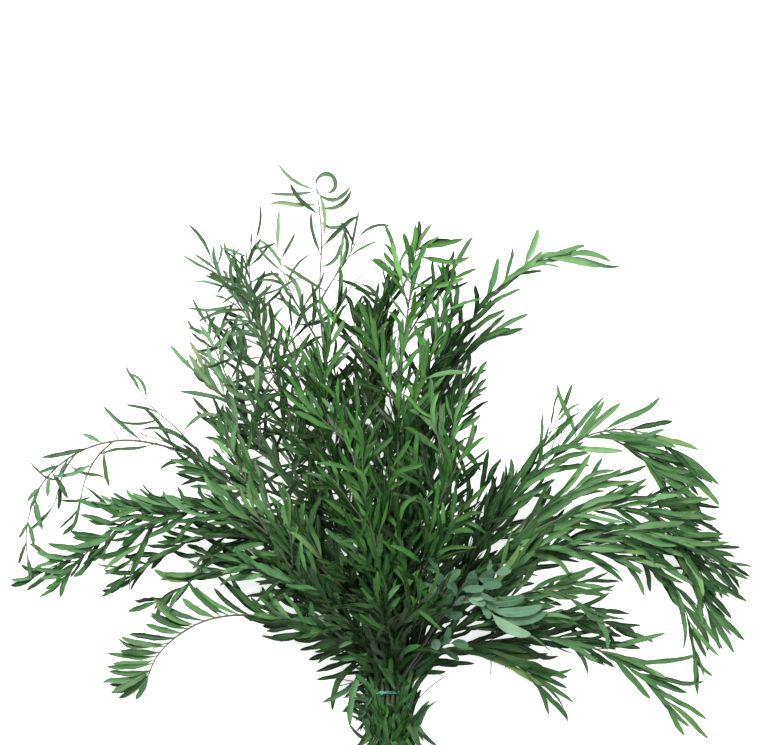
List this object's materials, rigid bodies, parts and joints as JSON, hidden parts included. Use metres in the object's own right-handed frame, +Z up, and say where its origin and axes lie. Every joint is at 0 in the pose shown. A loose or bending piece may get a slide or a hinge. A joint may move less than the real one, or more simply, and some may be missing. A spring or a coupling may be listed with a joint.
{
  "type": "tied bunch of narrow-leaved eucalyptus branches",
  "caption": "Tied bunch of leafy willow-type eucalyptus stems, fanned out and laid down, with cut stem ends and a green twine tie at the neck.",
  "frame": {"origin": "the middle of the bunch's bounding box on the table that it lies on, so z = 0 is the table", "axes": "+Z up from the table, the way the top of the pictured view faces; +Y from the cut stem ends towards the leafy tips; +X across the fan, to the right in the pictured view"},
  "size_m": [0.8266, 0.701, 0.169],
  "materials": {
    "leaf_slim": "satin, narrow mid-green leaves on thin brown-green stems",
    "leaf_upright": "satin, fresh green leaves on brown-green stems",
    "leaf_spray": "satin, deep green leaves on brown-green stems",
    "leaf_dense": "satin, green leaves on brown-green stems",
    "leaf_pale": "matte with a waxy bloom, grey-green leaves",
    "tie_twine": "teal green twine"
  },
  "bodies": {
    "root": {"stem_centre_back": "leaf_upright", "stem_front_left": "leaf_dense", "stem_front_left_low": "leaf_dense", "stem_front_middle": "leaf_upright", "stem_front_right": "leaf_upright", "stem_left_arm": "leaf_slim", "stem_left_front": "leaf_dense", "stem_left_low": "leaf_spray", "stem_left_middle": "leaf_dense", "stem_left_upper": "leaf_slim", "stem_pale": "leaf_pale", "stem_right_centre": "leaf_upright", "stem_right_low": "leaf_spray", "stem_right_lower": "leaf_spray", "stem_right_middle": "leaf_spray", "stem_right_top": "leaf_spray", "stem_right_upper": "leaf_spray", "stem_tall": "leaf_slim", "stem_upper_inner": "leaf_upright", "stem_upper_left": "leaf_slim", "stem_upper_middle": "leaf_upright", "stem_upper_middle_back": "leaf_upright", "stem_upper_right": "leaf_spray", "stem_upper_right_inner": "leaf_upright", "tie_band": "tie_twine"}
  },
  "joints": []
}
